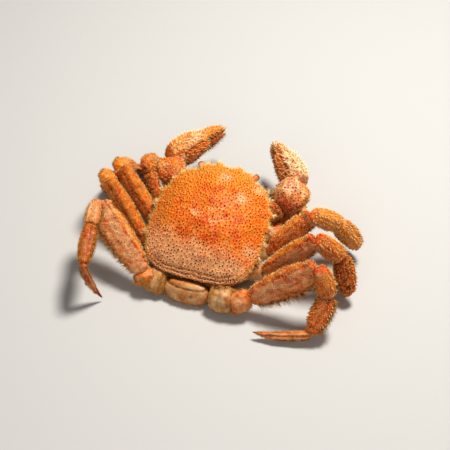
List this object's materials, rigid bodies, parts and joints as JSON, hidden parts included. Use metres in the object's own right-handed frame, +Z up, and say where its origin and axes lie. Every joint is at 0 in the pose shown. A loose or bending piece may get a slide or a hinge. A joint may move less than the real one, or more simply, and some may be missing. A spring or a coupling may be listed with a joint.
{
  "type": "cooked crab",
  "caption": "Whole boiled hairy crab lying shell up on its belly, with spiny orange shell, folded jointed legs and claws reaching forward.",
  "frame": {"origin": "on the flat of the belly that the crab rests on, under the middle of the shell", "axes": "+X towards the crab's right side, +Y the way the crab looks, +Z up out of its back"},
  "size_m": [0.2231, 0.1902, 0.0571],
  "materials": {
    "boiled_shell": "rough, spotted and bristly, moist",
    "boiled_limb_shell": "rough, spiny, moist",
    "pale_belly_shell": "smooth, satin",
    "horny_finger": "horny, satin",
    "eye": "glossy"
  },
  "bodies": {
    "root": {"abdomen": "pale_belly_shell", "carapace": "boiled_shell", "claw_left_arm": "boiled_limb_shell", "claw_left_carpus": "boiled_limb_shell", "claw_left_finger": "horny_finger", "claw_left_palm": "boiled_limb_shell", "claw_right_arm": "boiled_limb_shell", "claw_right_carpus": "boiled_limb_shell", "claw_right_finger": "horny_finger", "claw_right_palm": "boiled_limb_shell", "eye_left": "eye", "eye_right": "eye", "leg_left_1_carpus": "boiled_limb_shell", "leg_left_1_coxa": "boiled_limb_shell", "leg_left_1_dactylus": "boiled_limb_shell", "leg_left_1_merus": "boiled_limb_shell", "leg_left_1_propodus": "boiled_limb_shell", "leg_left_2_carpus": "boiled_limb_shell", "leg_left_2_coxa": "boiled_limb_shell", "leg_left_2_dactylus": "boiled_limb_shell", "leg_left_2_merus": "boiled_limb_shell", "leg_left_2_propodus": "boiled_limb_shell", "leg_left_3_carpus": "boiled_limb_shell", "leg_left_3_coxa": "boiled_limb_shell", "leg_left_3_dactylus": "boiled_limb_shell", "leg_left_3_merus": "boiled_limb_shell", "leg_left_3_propodus": "boiled_limb_shell", "leg_left_4_carpus": "boiled_limb_shell", "leg_left_4_coxa": "boiled_limb_shell", "leg_left_4_dactylus": "boiled_limb_shell", "leg_left_4_ischium": "boiled_limb_shell", "leg_left_4_merus": "boiled_limb_shell", "leg_left_4_propodus": "boiled_limb_shell", "leg_right_1_carpus": "boiled_limb_shell", "leg_right_1_coxa": "boiled_limb_shell", "leg_right_1_dactylus": "boiled_limb_shell", "leg_right_1_merus": "boiled_limb_shell", "leg_right_1_propodus": "boiled_limb_shell", "leg_right_2_carpus": "boiled_limb_shell", "leg_right_2_coxa": "boiled_limb_shell", "leg_right_2_dactylus": "boiled_limb_shell", "leg_right_2_merus": "boiled_limb_shell", "leg_right_2_propodus": "boiled_limb_shell", "leg_right_3_carpus": "boiled_limb_shell", "leg_right_3_coxa": "boiled_limb_shell", "leg_right_3_dactylus": "boiled_limb_shell", "leg_right_3_merus": "boiled_limb_shell", "leg_right_3_propodus": "boiled_limb_shell", "leg_right_4_carpus": "boiled_limb_shell", "leg_right_4_coxa": "boiled_limb_shell", "leg_right_4_dactylus": "boiled_limb_shell", "leg_right_4_ischium": "boiled_limb_shell", "leg_right_4_merus": "boiled_limb_shell", "leg_right_4_propodus": "boiled_limb_shell", "mouth_plate_left": "pale_belly_shell", "mouth_plate_right": "pale_belly_shell", "thorax": "pale_belly_shell"}
  },
  "joints": []
}
